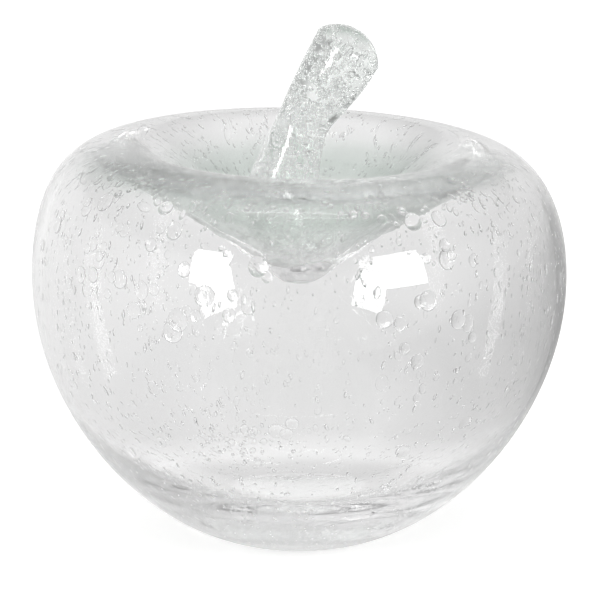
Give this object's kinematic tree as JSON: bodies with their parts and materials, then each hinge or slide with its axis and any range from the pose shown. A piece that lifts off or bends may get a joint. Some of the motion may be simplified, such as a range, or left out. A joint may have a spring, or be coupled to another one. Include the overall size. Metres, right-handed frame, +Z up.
{
  "type": "art glass apple",
  "caption": "Hollow hand-blown apple ornament of clear seeded glass, with a dimpled top, a leaning solid glass stem and a ground flat base.",
  "frame": {"origin": "centre of the ground foot, on the surface that the apple stands on", "axes": "+Z up the apple's axis, +X the way the stem leans, -Y towards the viewer of the picture"},
  "size_m": [0.18, 0.18, 0.1756],
  "materials": {
    "body_glass": "clear blown soda-lime glass full of seed bubbles, fire polished",
    "stem_glass": "solid drawn soda-lime glass, dense with seeds, faintly green in its thickness",
    "pontil_glass": "clear glass, ground flat and polished underneath"
  },
  "bodies": {
    "root": {"blown_body": "body_glass", "stem": "stem_glass", "pontil_wad": "pontil_glass"}
  },
  "joints": []
}
